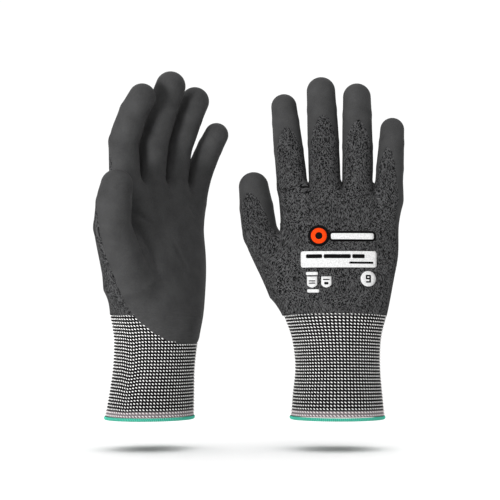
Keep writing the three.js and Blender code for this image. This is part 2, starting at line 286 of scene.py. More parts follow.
# ---------------------------------------------------------------- one glove's own frame
class Glove:
    """The frame of one glove: x across the back towards the little finger, y towards the palm, z up."""

    def __init__(self, side):
        self.side = side
        axis = np.array(JOINTS[f"{side}_wrist"]["axis"])
        up = np.array((0.0, 0.0, 1.0))
        toward_palm = np.cross(axis, up)
        across = np.array(JOINTS[f"{side}_little_knuckle"]["pos_m"])
        across = across - np.array(JOINTS[f"{side}_index_knuckle"]["pos_m"])
        x_axis = axis * np.sign(axis @ across)
        self.axes = np.array((x_axis, toward_palm, up))
        low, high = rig.box(f"{side}_overlock_hem")
        self.origin = np.array(((low.x + high.x) / 2, (low.y + high.y) / 2, low.z))
        self.mirrored = np.linalg.det(self.axes) < 0
        self.wrist = self.joint("wrist")
        self.chains = {name: self.finger_chain(name) for name in FINGERS}
        self.chains["thumb"] = self.thumb_chain()

    def to_local(self, point):
        return (np.asarray(point, float) - self.origin) @ self.axes.T * 1000

    def to_world(self, point):
        return np.asarray(point, float) / 1000 @ self.axes + self.origin

    def joint(self, name):
        return self.to_local(JOINTS[f"{self.side}_{name}"]["pos_m"])

    def tip_of(self, name, pivot):
        """The end of a stall: the vertex of its last shell that is farthest from the last pivot."""
        mesh = frame["nodes"][f"{self.side}_{name}_tip_stall"].data
        points = self.to_local([v.co for v in mesh.vertices])
        return points[np.argmax(np.linalg.norm(points - pivot, axis=1))]

    def finger_chain(self, name):
        pivots = [self.joint(f"{name}_{j}") for j in ("knuckle", "middle_joint", "tip_joint")]
        foot = pivots[0] + unit(self.wrist - pivots[0]) * FINGER_ROOT
        return Chain(name, pivots, self.tip_of(name, pivots[-1]), foot)

    def thumb_chain(self):
        pivots = [self.joint("thumb_base"), self.joint("thumb_joint")]
        return Chain("thumb", pivots, self.tip_of("thumb", pivots[-1]), self.wrist + THUMB_FOOT)


def unit(vector):
    return vector / np.linalg.norm(vector)


class Chain:
    """The bent centre line of a finger stall, with its radius along it."""

    def __init__(self, name, pivots, tip, foot):
        self.name = name
        self.pivots = pivots
        root, middle, end = FINGER_RADII[name]
        last = tip - unit(tip - pivots[-1]) * end
        self.nodes = [*pivots, last]
        lengths = [np.linalg.norm(b - a) for a, b in zip(self.nodes, self.nodes[1:])]
        self.reach = sum(lengths) + end
        self.starts = np.concatenate(([0.0], np.cumsum(lengths)))
        places = [0.0, MIDDLE_RADIUS_AT * self.reach, self.reach - end]
        self.radius_at = (places, [root, middle, end])
        root_length = np.linalg.norm(pivots[0] - foot)
        self.nodes = [foot, *self.nodes]
        self.starts = np.concatenate(([-root_length], self.starts))
        if name == "thumb":
            root_places = [(share - 1) * root_length for share in THUMB_ROOT_SHARES]
            self.radius_at = ([*root_places, *places], [*THUMB_ROOT_RADII, root, middle, end])

    def segment(self, points, i, nodes=None):
        """Distance to one segment's skin, the place along the chain, and the nearest centre."""
        a, b = (nodes or self.nodes)[i : i + 2]
        along = b - a
        share = np.clip((points - a) @ along / (along @ along), 0, 1)
        centre = a + share[:, None] * along
        place = self.starts[i] + share * np.linalg.norm(along)
        radius = np.interp(place, *self.radius_at)
        return np.linalg.norm(points - centre, axis=1) - radius, place, centre

    def distance(self, points):
        found = self.segment(points, 0)[0]
        for i in range(1, len(self.nodes) - 1):
            found = smooth_union(found, self.segment(points, i)[0], KNUCKLE_BLEND)
        return found

    def place(self, points):
        """How far along the chain each point is, and its angle from the back towards +x, in radians.

        A finger's root is taken in line with its first phalanx here, so that the knit runs straight on.
        """
        best = np.full(len(points), np.inf)
        along = np.zeros(len(points))
        angle = np.zeros(len(points))
        nodes = list(self.nodes)
        if self.name != "thumb":
            nodes[0] = nodes[1] + unit(nodes[2] - nodes[1]) * self.starts[0]
        for i in range(len(nodes) - 1):
            distance, place, centre = self.segment(points, i, nodes)
            direction = unit(nodes[i + 1] - nodes[i])
            back = unit(np.array((0.0, -1.0, 0.0)) + direction * direction[1])
            sideways = np.cross(direction, back)
            offset = points - centre
            nearer = distance < best
            best = np.where(nearer, distance, best)
            along = np.where(nearer, place, along)
            turn = np.arctan2(offset @ sideways, offset @ back)
            angle = np.where(nearer, turn, angle)
        end = self.nodes[-1]
        beyond = np.maximum((points - end) @ unit(end - self.nodes[-2]), 0)
        return along + beyond, angle


# ---------------------------------------------------------------- the hand's surface
def smooth_union(a, b, width):
    share = np.clip(0.5 + 0.5 * (b - a) / width, 0, 1)
    return b * (1 - share) + a * share - width * share * (1 - share)


def smooth_curve(x, xs, values):
    """A smooth curve through the values, level beyond its ends."""
    slopes = np.gradient(values, xs)
    x = np.clip(x, xs[0], xs[-1])
    i = np.clip(np.searchsorted(xs, x) - 1, 0, len(xs) - 2)
    width = xs[i + 1] - xs[i]
    t = (x - xs[i]) / width
    return (
        values[i] * (2 * t**3 - 3 * t**2 + 1)
        + slopes[i] * width * (t**3 - 2 * t**2 + t)
        + values[i + 1] * (3 * t**2 - 2 * t**3)
        + slopes[i + 1] * width * (t**3 - t**2)
    )


def oval_at(z):
    return [smooth_curve(z, SECTIONS[:, 0], SECTIONS[:, i]) for i in range(1, 6)]


def oval_distance(points):
    cx, cy, a, b, n = oval_at(points[:, 2])
    x = np.abs(points[:, 0] - cx) + 1e-6
    y = np.abs(points[:, 1] - cy) + 1e-6
    level = ((x / a) ** n + (y / b) ** n) ** (1 / n)
    slope_x = (x / a / level) ** (n - 1) / a
    slope_y = (y / b / level) ** (n - 1) / b
    return (level - 1) / np.hypot(slope_x, slope_y)


# Creases pressed into the fabric: two ends, depth and half-width. Those with y below 0 are on the back.
CREASES = (
    ((-34, 15, 158), (-31, 18, 126), 5.5, 4.6),
    ((-29, 19, 136), (-21, 27, 108), 1.8, 2.2),
    ((-31, 17, 148), (-18, 20, 139), 1.2, 2.0),
    ((34, 20, 152), (0, 24, 156), 0.4, 2.0),
    ((28, 20, 146), (19, 20, 157), 0.5, 1.6),
    ((-3, 26, 129), (9, 31, 103), 0.7, 2.4),
    ((27, -3, 171), (30, -6, 156), 1.9, 1.5),
    ((4, -4, 173), (5, -6, 165), 0.9, 1.5),
    ((-20, -4, 174), (-20, -6, 167), 0.5, 1.5),
)
CREASE_Y_WEIGHT = 0.3  # a gap in y counts less, because a crease's ends lie only near the skin
BACK_TO_PALM = 6.5  # a crease stays on its own side of this y


def crease_depth(points):
    total = np.zeros(len(points))
    for start, end, depth, width in CREASES:
        start = np.array(start, float)
        along = np.array(end, float) - start
        offset = points - start
        share = np.clip(offset @ along / (along @ along), 0, 1)
        gap = offset - share[:, None] * along
        gap[:, 1] *= CREASE_Y_WEIGHT
        fade = np.sin(math.pi * np.clip(share, 0.02, 0.98)) ** 0.5
        on_face = (points[:, 1] > BACK_TO_PALM) == (start[1] > 0)
        total += on_face * depth * fade * np.exp(-np.sum(gap**2, axis=1) / width**2)
    return total


def ripple(points):
    """The slight unevenness of soft fabric."""
    x, y, z = points.T
    wave = np.sin(x / 9.1 + z / 17.3) * np.cos(z / 11.7 - y / 13.1)
    wave += 0.6 * np.sin(z / 6.3 + y / 5.9 - x / 23.0)
    return 0.1 * wave


def glove_field(glove):
    """The distance from the glove's skin, below zero inside."""

    def field(points):
        palm = oval_distance(points)
        palm = -smooth_union(-palm, PALM_TOP - points[:, 2], PALM_TOP_BLEND)
        fingers = glove.chains["index"].distance(points)
        for name in FINGERS[1:]:
            fingers = np.minimum(fingers, glove.chains[name].distance(points))
        whole = smooth_union(palm, fingers, FINGER_BLEND)
        blend = np.interp(points[:, 2], *THUMB_BLEND)
        whole = smooth_union(whole, glove.chains["thumb"].distance(points), blend)
        return whole + crease_depth(points) + ripple(points)

    return field


def slope_of(field, points, reach=0.25):
    steps = np.eye(3) * reach
    return np.stack([field(points + s) - field(points - s) for s in steps], 1) / (2 * reach)


def settle(field, points, rounds):
    """Moves points onto the surface."""
    for _ in range(rounds):
        slope = slope_of(field, points)
        length = np.maximum(np.sum(slope**2, axis=1), 0.05)
        points = points - (field(points) / length)[:, None] * slope
    return points


def surface_net(field, axes):
    """Quads over the surface of a field, one vertex to each grid cell that the surface crosses."""
    shape = [len(a) for a in axes]
    grid = np.stack(np.meshgrid(*axes, indexing="ij"), -1).reshape(-1, 3)
    inside = np.concatenate([field(part) for part in np.array_split(grid, 12)]) < 0
    inside = inside.reshape(shape)
    cells = tuple(n - 1 for n in shape)
    count = np.zeros(cells, int)
    for i, j, k in product((0, 1), repeat=3):
        count += inside[i : i + cells[0], j : j + cells[1], k : k + cells[2]]
    crossed = (count > 0) & (count < 8)
    number = np.full(cells, -1)
    number[crossed] = np.arange(crossed.sum())
    where = np.argwhere(crossed)
    middles = [(a[:-1] + a[1:]) / 2 for a in axes]
    points = np.stack([middles[i][where[:, i]] for i in range(3)], 1)
    quads = []
    for axis in range(3):
        near = np.moveaxis(inside, axis, 0)
        cell = np.moveaxis(number, axis, 0)
        changed = near[:-1] != near[1:]
        i, j, k = np.nonzero(changed[:, 1:-1, 1:-1])
        corners = [cell[i, j + p, k + q] for p, q in ((0, 0), (1, 0), (1, 1), (0, 1))]
        quad = np.stack(corners, 1)
        outward = near[:-1][i, j + 1, k + 1]
        if axis == 1:
            outward = ~outward
        quad[~outward] = quad[~outward][:, ::-1]
        quads.append(quad)
    return points, np.concatenate(quads)


def relax(points, quads, share):
    """Draws each vertex towards the middle of its neighbours."""
    total = np.zeros_like(points)
    count = np.zeros(len(points))
    for a, b in ((0, 1), (1, 2), (2, 3), (3, 0)):
        for here, there in ((quads[:, a], quads[:, b]), (quads[:, b], quads[:, a])):
            for i in range(3):
                total[:, i] += np.bincount(here, points[there, i], len(points))
            count += np.bincount(here, minlength=len(points))
    middle = total / np.maximum(count, 1)[:, None]
    return points + share * (middle - points)


def grid_axes(glove):
    """Grid lines round the hand, closer together where two fingers almost touch."""
    feet = [glove.chains[name].pivots[0][0] for name in FINGERS]
    clefts = [(a + b) / 2 for a, b in zip(feet, feet[1:])]
    nodes = np.concatenate([chain.nodes for chain in glove.chains.values()])
    low, high = nodes.min(0) - GRID_MARGIN, nodes.max(0) + GRID_MARGIN
    x = [min(low[0], PALM_LOW[0])]
    while x[-1] < max(high[0], PALM_HIGH[0]):
        close = min(abs(x[-1] - cleft) for cleft in clefts) < CLEFT_REACH
        x.append(x[-1] + (STEP / 2 if close else STEP))
    y = np.arange(min(low[1], PALM_LOW[1]), max(high[1], PALM_HIGH[1]), STEP)
    z = np.arange(WRIST_BEND[0] - GRID_BELOW_BEND, high[2], STEP)
    return [np.array(x), y, z]


def glove_surface(glove):
    field = glove_field(glove)
    points, quads = surface_net(field, grid_axes(glove))
    points = settle(field, points, 3)
    for _ in range(3):
        points = settle(field, relax(points, quads, 0.5), 1)
    points = settle(field, points, 1)
    slope = slope_of(field, points)
    normals = slope / np.linalg.norm(slope, axis=1)[:, None]
    return points, quads, normals


# ---------------------------------------------------------------- where the coating lies
ARCH_TOP = 0.59  # the bare knit on a finger's back ends in a point at this share of its length
# The middle of the knit, turned from the back, and its half-width at the root, in degrees.
ARCH_ANGLES = {"little": (-22, 62), "thumb": (-25, 70)}
ARCH_ANGLES_ELSEWHERE = (0, 95)
# The hand's edge gives way to a finger's own between these places, from the knuckle towards the tip.
COAT_HANDOVER = {"thumb": (-22.0, -4.0)}
COAT_HANDOVER_ELSEWHERE = (-8.0, 2.0)
EDGE_WANDER = 0.35  # how far the edge wanders
EDGE_WANDER_LENGTH = 3.0  # and over what length


def noise(points, scale, seed=0.0):
    x, y, z = points.T / scale
    wave = np.sin(x * 1.7 + seed + 2.1 * np.sin(z * 0.9 + seed))
    wave += np.sin(y * 1.3 - seed + 1.7 * np.sin(x * 1.1 + z * 0.7))
    wave += np.sin(z * 1.9 + 1.3 * np.sin(y * 1.4 - x * 0.8 + seed))
    return wave / 3


def arch_cover(chain, along, angle):
    """How far past the coating's edge a point on a finger lies, in millimetres."""
    share = np.clip(along / (ARCH_TOP * chain.reach), 0, None)
    middle, half = ARCH_ANGLES.get(chain.name, ARCH_ANGLES_ELSEWHERE)
    width = np.radians(half) * np.sqrt(np.clip(1 - share, 0, 1))
    radius = np.interp(along, *chain.radius_at)
    beside = radius * (np.abs(angle - math.radians(middle)) - width)
    beyond = along - ARCH_TOP * chain.reach
    return np.where(share < 1, beside, np.maximum(beside, beyond))


# The coating's lower edge across the palm: oval angle in degrees from the thumb's side, and height.
DIP_EDGE = np.array(
    [
        (5, 230),
        (13, 160),
        (19, 120),
        (20.5, 80),
        (32, 69),
        (48, 62),
        (66, 56.5),
        (91, 55),
        (125, 55),
        (150, 60),
        (160, 72),
        (168, 90),
        (180, 112),
        (196, 127),
        (209, 152),
        (235, 188),
    ],
    float,
)


def palm_cover(points):
    """How far above the coating's lower edge a point on the hand lies, in millimetres."""
    cx, cy, a, b, _ = oval_at(points[:, 2])
    turn = np.degrees(np.arctan2((points[:, 1] - cy) / b, -(points[:, 0] - cx) / a))
    turn = np.where(turn < -90, turn + 360, turn)
    edge = np.interp(turn, *DIP_EDGE.T)
    step = 2
    rise = np.interp(turn + step, *DIP_EDGE.T) - np.interp(turn - step, *DIP_EDGE.T)
    steep = np.abs(rise) / np.radians(2 * step) / a
    return (points[:, 2] - edge) / np.hypot(1, steep)


def coat_cover(glove, points, nearest, along, angle):
    """Above zero where the coating covers the knit."""
    hand = palm_cover(points)
    cover = hand.copy()
    for name, chain in glove.chains.items():
        mine = nearest == name
        finger = arch_cover(chain, along[mine], angle[mine])
        low, high = COAT_HANDOVER.get(name, COAT_HANDOVER_ELSEWHERE)
        share = np.clip((along[mine] - low) / (high - low), 0, 1)
        cover[mine] = hand[mine] * (1 - share) + finger * share
    return cover + EDGE_WANDER * noise(points, EDGE_WANDER_LENGTH)


# ---------------------------------------------------------------- meshes
def make_object(name, points, faces, glove, material, attributes=None, normals=None):
    """A mesh object from one glove's own frame."""
    mesh = bpy.data.meshes.new(name)
    faces = np.asarray(faces)
    if glove.mirrored:
        faces = faces[:, ::-1]
    mesh.from_pydata(glove.to_world(points).tolist(), [], faces.tolist())
    for key, values in (attributes or {}).items():
        values = np.asarray(values, np.float32)
        kind, field = ("FLOAT", "value") if values.ndim == 1 else ("FLOAT_VECTOR", "vector")
        mesh.attributes.new(key, kind, "POINT").data.foreach_set(field, values.ravel())
    mesh.shade_smooth()
    if normals is not None:
        turned = np.asarray(normals) @ glove.axes
        mesh.normals_split_custom_set_from_vertices(turned.tolist())
    mesh.materials.append(material)
    made = bpy.data.objects.new(name, mesh)
    bpy.context.scene.collection.objects.link(made)
    return made


def part_of(points, faces, chosen, values):
    """The chosen faces with their own vertices, and the values at those vertices."""
    faces = faces[chosen]
    used, renumbered = np.unique(faces, return_inverse=True)
    return points[used], renumbered.reshape(faces.shape), [v[used] for v in values]


# ---------------------------------------------------------------- materials
class Shader:
    """A material under construction."""

    def __init__(self, name, roughness, specular=0.25):
        self.material = bpy.data.materials.new(name)
        self.material.use_nodes = True
        self.tree = self.material.node_tree
        self.surface = self.tree.nodes["Principled BSDF"]
        self.surface.inputs["Roughness"].default_value = roughness
        self.surface.inputs["Specular IOR Level"].default_value = specular

    def put(self, value, socket):
        if isinstance(value, (int, float)):
            socket.default_value = value
        else:
            self.tree.links.new(value, socket)

    def attribute(self, name, output="Fac"):
        node = self.tree.nodes.new("ShaderNodeAttribute")
        node.attribute_name = name
        return node.outputs[output]

    def calc(self, operation, a, b=0.0):
        node = self.tree.nodes.new("ShaderNodeMath")
        node.operation = operation
        self.put(a, node.inputs[0])
        self.put(b, node.inputs[1])
        return node.outputs[0]

    def axes(self, vector):
        node = self.tree.nodes.new("ShaderNodeSeparateXYZ")
        self.tree.links.new(vector, node.inputs[0])
        return node.outputs

    def vector(self, x, y, z=0.0):
        node = self.tree.nodes.new("ShaderNodeCombineXYZ")
        for value, socket in zip((x, y, z), node.inputs):
            self.put(value, socket)
        return node.outputs[0]

    def noise(self, vector, scale, detail=2.0):
        node = self.tree.nodes.new("ShaderNodeTexNoise")
        self.tree.links.new(vector, node.inputs["Vector"])
        node.inputs["Scale"].default_value = scale
        node.inputs["Detail"].default_value = detail
        return node.outputs["Fac"]

    def speckle(self, vector):
        node = self.tree.nodes.new("ShaderNodeTexWhiteNoise")
        self.tree.links.new(vector, node.inputs["Vector"])
        return node.outputs["Value"]

    def ramp(self, value, stops):
        node = self.tree.nodes.new("ShaderNodeValToRGB")
        self.tree.links.new(value, node.inputs[0])
        ramp = node.color_ramp
        while len(ramp.elements) < len(stops):
            ramp.elements.new(0.5)
        for element, (at, colour) in zip(ramp.elements, stops):
            element.position = at
            element.color = (*colour, 1)
        return node.outputs[0]

    def colour(self, value):
        self.tree.links.new(value, self.surface.inputs["Base Color"])

    def bump(self, height, distance, strength=1.0):
        node = self.tree.nodes.new("ShaderNodeBump")
        node.inputs["Distance"].default_value = distance
        node.inputs["Strength"].default_value = strength
        self.tree.links.new(height, node.inputs["Height"])
        self.tree.links.new(node.outputs[0], self.surface.inputs["Normal"])


WALE = 1.1  # width of a knitted stitch
COURSE = 0.75  # height of a knitted stitch
RIDGE_TOP = 85.5  # the cuff's courses show through the coating up to here
RIDGE_FADE = 9.5  # and fade out over this height


def knit_material():
    """Fine jersey in grey flecked yarn: each stitch is a V, with painted shade in the grooves between its loops."""
    s = Shader("liner_knit", 0.85, 0.12)
    u, v, _ = s.axes(s.attribute("knit", "Vector"))
    u = s.calc("DIVIDE", u, WALE)
    v = s.calc("DIVIDE", v, COURSE)
    aside = s.calc("ABSOLUTE", s.calc("SUBTRACT", s.calc("FRACT", u), 0.5))
    slanted = s.calc("ADD", v, s.calc("MULTIPLY", aside, 1.7))
    across = s.calc("SINE", s.calc("MULTIPLY", aside, 2 * math.pi))
    along = s.calc("SINE", s.calc("MULTIPLY", s.calc("FRACT", slanted), math.pi))
    height = s.calc("MULTIPLY", s.calc("POWER", across, 0.6), s.calc("POWER", along, 0.7))
    stitch = s.vector(s.calc("FLOOR", s.calc("MULTIPLY", u, 2.0)), s.calc("FLOOR", slanted))
    fleck = s.speckle(stitch)
    rest = s.attribute("rest", "Vector")
    patch = s.calc("SUBTRACT", s.noise(rest, 0.35, 3.0), 0.5)
    tone = s.calc("ADD", fleck, s.calc("MULTIPLY", patch, 0.3))
    # Painted shade: the colour darkens where the stitch is low, in the grooves between its loops.
    tone = s.calc("MULTIPLY", tone, s.calc("ADD", s.calc("MULTIPLY", height, 0.5), 0.5))
    # The darkest stop is partly black yarn in the fleck and partly painted shade in those grooves.
    dark, grey, light = (0.001,) * 3, (0.033, 0.033, 0.034), (0.11, 0.11, 0.112)
    s.colour(s.ramp(tone, ((0.2, dark), (0.3, grey), (0.9, light))))
    s.bump(height, 0.0004, 0.8)
    return s.material


def coat_material():
    """Matte dipped foam with a fine open grain."""
    s = Shader("palm_coat", 0.7, 0.1)
    rest = s.attribute("rest", "Vector")
    grain = s.noise(rest, 2.6, 3.0)
    cloud = s.noise(rest, 0.09, 4.0)
    tone = s.calc("ADD", s.calc("MULTIPLY", grain, 0.6), s.calc("MULTIPLY", cloud, 0.4))
    dark, light = (0.022, 0.022, 0.0225), (0.053, 0.053, 0.0535)
    s.colour(s.ramp(tone, ((0.3, dark), (0.7, light))))
    height = s.axes(rest)[2]
    course = s.calc("SINE", s.calc("MULTIPLY", height, 2 * math.pi / COURSE_HEIGHT))
    below = s.calc("SUBTRACT", RIDGE_TOP / RIDGE_FADE, s.calc("DIVIDE", height, RIDGE_FADE))
    over_cuff = s.calc("MAXIMUM", s.calc("MINIMUM", below, 1.0), 0.0)
    ridges = s.calc("MULTIPLY", s.calc("MULTIPLY", course, over_cuff), 0.8)
    s.bump(s.calc("ADD", grain, ridges), 0.00018, 0.6)
    return s.material


def cuff_material():
    """Black elastic rib with white dashes, and a paler sewn band above the hem."""
    s = Shader("cuff_rib", 0.8, 0.15)
    rest = s.attribute("rest", "Vector")
    fibre = s.calc("MULTIPLY", s.noise(rest, 1.6, 3.0), 0.3)
    dash = s.calc("ADD", s.attribute("dash"), s.calc("SUBTRACT", fibre, 0.15))
    black, white = (0.003, 0.003, 0.003), (0.86, 0.85, 0.84)
    dashes = s.ramp(dash, ((0.44, black), (0.62, white)))
    band = s.ramp(dash, ((0.15, (0.16, 0.14, 0.145)), (0.6, (0.72, 0.66, 0.67))))
    mix = s.tree.nodes.new("ShaderNodeMix")
    mix.data_type = "RGBA"
    s.put(s.attribute("band"), mix.inputs["Factor"])
    s.put(dashes, mix.inputs["A"])
    s.put(band, mix.inputs["B"])
    s.colour(mix.outputs["Result"])
    s.bump(s.noise(rest, 3.0, 2.0), 0.0002, 0.4)
    return s.material


def hem_material():
    s = Shader("hem_thread", 0.7, 0.2)
    rest = s.attribute("rest", "Vector")
    # Painted shade: the thread is darker between its wraps, where the bulge is low; the noise adds the yarn's own
    # uneven tone.
    wrap_shade_and_tone = s.calc("ADD", s.attribute("dash"), s.calc("MULTIPLY", s.noise(rest, 1.5, 2.0), 0.3))
    s.colour(s.ramp(wrap_shade_and_tone, ((0.2, (0.02, 0.18, 0.13)), (0.8, (0.07, 0.5, 0.36)))))
    s.bump(s.noise(rest, 3.0, 2.0), 0.0002, 0.4)
    return s.material


def print_material(name, low, high):
    """A thin transfer print, faintly broken by the knit below it."""
    s = Shader(name, 0.75, 0.05)
    rest = s.attribute("rest", "Vector")
    grain = s.noise(rest, 1.4, 3.0)
    s.colour(s.ramp(grain, ((0.3, low), (0.6, high))))
    s.bump(grain, 0.0002, 0.5)
    return s.material


KNIT = knit_material()
COATING = coat_material()
RIB = cuff_material()
THREAD = hem_material()
WHITE = print_material("print_white", (0.42, 0.42, 0.42), (0.6, 0.6, 0.6))
ACCENT = print_material("print_accent", (0.55, 0.03, 0.002), (0.75, 0.05, 0.003))
INK = print_material("print_ink", (0.001, 0.001, 0.001), (0.003, 0.003, 0.003))


# ---------------------------------------------------------------- hand and fingers
MARGIN = 1.3  # a cut lies at least this far from fabric that turns
TURN_MARGIN = 2.8  # the same, next to a joint that is bent at rest
CLEFTS = {"index": 3.4, "middle": 2.4, "ring": 3.8, "little": 7.0, "thumb": 2.4}
SPLAY = {"little": math.radians(22)}  # the little finger's first crease slants down its outer side
KNUCKLE_SHARE = 0.6  # the knuckle's bend ends at this share of the way to the next joint
JOINT_SHARE = 0.3  # and the bend at that joint at this share of the way to the one after it
LEAST_BEND = 7.0  # a knuckle's bend is at least this long, and the last bend goes this far past its joint
# The hand's knit gives way to a finger's own between these places, from the knuckle towards the tip.
KNIT_HANDOVER = {"thumb": (-25.0, -8.0)}
KNIT_HANDOVER_ELSEWHERE = (-6.0, 4.0)
KNIT_TUCK = 1  # the hand's knit starts this far below the top of the cuff
COAT_TUCK = 1.2  # the coating's mesh goes this far past its edge
COAT_SINK = 0.5  # where it ends this far below the knit
COAT_ROUND = 1.3  # and it is at full thickness this far inside its edge


class Zone:
    """Fabric that bends between two bodies, from start to end."""

    def __init__(self, lower, upper, start, end):
        self.lower = lower
        self.upper = upper
        self.start = start
        self.end = end


def finger_zones(glove, name):
    """The cuts along a finger, each a point and a direction, and the zone above each cut."""
    chain = glove.chains[name]
    side = glove.side
    titles = ("base", "tip") if name == "thumb" else ("base", "middle", "tip")
    bodies = [f"{side}_hand", *(f"{side}_{name}_{title}" for title in titles)]
    nodes = chain.nodes[1:]
    places = chain.starts[1:]
    spans = np.diff(places)
    directions = [unit(b - a) for a, b in zip(nodes, nodes[1:])]
    tilt = SPLAY.get(name, 0.0)
    first = unit(directions[0] + math.tan(tilt) * np.array((1.0, 0.0, 0.0)))
    cuts = [(nodes[0] + first * CLEFTS[name], first)]
    slack = FINGER_RADII[name][0] * math.tan(tilt)
    finish = max(KNUCKLE_SHARE * spans[0] - slack, CLEFTS[name] + MARGIN + LEAST_BEND)
    zones = [
        Zone(bodies[0], bodies[1], nodes[0] + first * (CLEFTS[name] + MARGIN), nodes[0] + first * finish)
    ]
    reached = finish + slack + MARGIN
    for i in range(1, len(titles)):
        cuts.append((nodes[i - 1] + directions[i - 1] * reached, directions[i - 1]))
        start = nodes[i - 1] + directions[i - 1] * (reached + TURN_MARGIN)
        beyond = JOINT_SHARE * spans[i] if i < len(titles) - 1 else LEAST_BEND
        end = nodes[i] + directions[i] * beyond
        zones.append(Zone(bodies[i], bodies[i + 1], start, end))
        reached = beyond + TURN_MARGIN
    return titles, cuts, zones


def knit_coordinates(glove, points, nearest, along, angle):
    """Across and up the knit, in millimetres, for every vertex."""
    cx, cy, a, b, _ = oval_at(points[:, 2])
    turn = np.arctan2((points[:, 0] - cx) / a, -(points[:, 1] - cy) / b)
    u = cx + a * np.where(np.abs(turn) < 1.2, np.sin(turn), np.sign(turn) * (np.abs(turn) - 0.27))
    v = points[:, 2].copy()
    for name, chain in glove.chains.items():
        mine = nearest == name
        radius = np.interp(along[mine], *chain.radius_at)
        pivot = chain.pivots[0]
        low, high = KNIT_HANDOVER.get(name, KNIT_HANDOVER_ELSEWHERE)
        share = np.clip((along[mine] - low) / (high - low), 0, 1)
        u[mine] = u[mine] * (1 - share) + (pivot[0] + radius * angle[mine]) * share
        v[mine] = v[mine] * (1 - share) + (pivot[2] + along[mine]) * share
    return np.stack((u, v, np.zeros(len(u))), 1)


def nearest_chain(glove, points):
    names = list(glove.chains)
    distances = np.stack([glove.chains[name].distance(points) for name in names])
    nearest = np.array(names)[np.argmin(distances, axis=0)]
    along = np.zeros(len(points))
    angle = np.zeros(len(points))
    for name, chain in glove.chains.items():
        mine = nearest == name
        along[mine], angle[mine] = chain.place(points[mine])
    return nearest, along, angle


def build_hand(glove):
    """The hand and the fingers, as knit and as coating, cut where one body's fabric meets the next."""
    side = glove.side
    points, quads, normals = glove_surface(glove)
    nearest, along, angle = nearest_chain(glove, points)
    cover = coat_cover(glove, points, nearest, along, angle)
    knit = knit_coordinates(glove, points, nearest, along, angle)
    middles = points[quads].mean(1)
    owner = nearest_chain(glove, middles)[0]
    piece = np.full(len(quads), "hand", dtype="<U20")
    wrist = [glove.to_world((0, 0, z)) for z in WRIST_BEND]
    zones = {"hand": Zone(f"{side}_cuff", f"{side}_hand", *wrist)}
    stands_for = {("hand", "knit"): "hand_liner", ("hand", "coat"): "palm_coating"}
    for name in glove.chains:
        titles, cuts, finger = finger_zones(glove, name)
        for title, (at, direction), zone in zip(titles, cuts, finger):
            part = f"{name}_{title}"
            piece[(owner == name) & ((middles - at) @ direction > 0)] = part
            zone.start, zone.end = glove.to_world(zone.start), glove.to_world(zone.end)
            zones[part] = zone
            stands_for[part, "knit"] = f"{part}_stall"
        stands_for[f"{name}_tip", "coat"] = f"{name}_tip_coating"
    trimmed = points[quads][:, :, 2].min(1) > CUFF_TOP - KNIT_TUCK
    coated = cover[quads].min(1) > -COAT_TUCK
    rise = np.interp(cover, (-COAT_TUCK, 0.0, COAT_ROUND), (-COAT_SINK, 0.0, COAT))
    lifted = points + normals * rise[:, None]
    for part, zone in zones.items():
        here = piece == part
        for kind, surface, chosen, material, slot in (
            ("knit", points, here & trimmed, KNIT, "liner_knit"),
            ("coat", lifted, here & coated, COATING, "palm_coat"),
        ):
            verts, faces, (rest, uv, normal) = part_of(surface, quads, chosen, (points, knit, normals))
            values = {"rest": rest, "knit": uv}
            made = make_object(f"{side}_{part}_{kind}", verts, faces, glove, material, values, normal)
            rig.blend(made, zone.lower, zone.upper, zone.start, zone.end)
            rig.slot(made, slot)
            if (part, kind) in stands_for:
                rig.replaces(made, f"{side}_{stands_for[part, kind]}")


# ---------------------------------------------------------------- cuff and hem
ROWS = 6  # grid rows to a course
COLUMNS = 6  # grid columns to a stitch
BAND_COURSES = 2  # the sewn courses above the hem
CUFF_GROUND = -0.55  # the black ground between dashes, outwards from the ovals
DASH_RELIEF = 0.75  # how far a dash stands up from it
DASH_LEAN = 0.6
CUFF_OVERLAP = 0.6  # the rib goes on this far under the hand's knit
BACK_BOW = 1.6  # how far the courses bow up over the back
THUMB_EDGE_DIP = 1.4  # how far they dip beside the thumb
THUMB_EDGE_TURN = 0.79  # where they dip, in turns from the middle of the palm
THUMB_EDGE_WIDTH = 0.03  # and how widely, in turns
HEM_WRAPS = 150
HEM_PROFILE = 14  # steps round the thread's section
HEM_SLANT = 1.2  # how many wraps along the edge a thread gets to while it goes over it
HEM_HALF_WALL = 0.9
HEM_THREAD = 0.3  # how far a thread stands out from the hem's sides


def oval_ring(z, turns, grow):
    """Points round the cuff at heights z and turns from 0 to 1, starting in the middle of the palm."""
    cx, cy, a, b, _ = oval_at(z)
    angle = 2 * math.pi * turns
    x = cx + (a + grow) * np.sin(angle)
    y = cy + (b + grow) * np.cos(angle)
    return np.stack((x, y, z), -1)


def grid_faces(rows, columns):
    """Quads of a grid that closes on itself sideways."""
    i, j = np.meshgrid(np.arange(rows - 1), np.arange(columns), indexing="ij")
    a = i * columns + j
    b = i * columns + (j + 1) % columns
    return np.stack((a, b, b + columns, a + columns), -1).reshape(-1, 4)


def dash_shape(stitch, course, lean):
    """The rope-like lie of each white stitch: 1 on its crest, 0 beside it."""
    across = (stitch - np.floor(stitch) - 0.5) * 2
    up = (course - np.floor(course) - 0.5) * 2
    along = across + lean * up
    beside = up - lean * across
    return np.clip(1.08 - along**2 * 0.75 - beside**2 * 4.2, 0, 1)


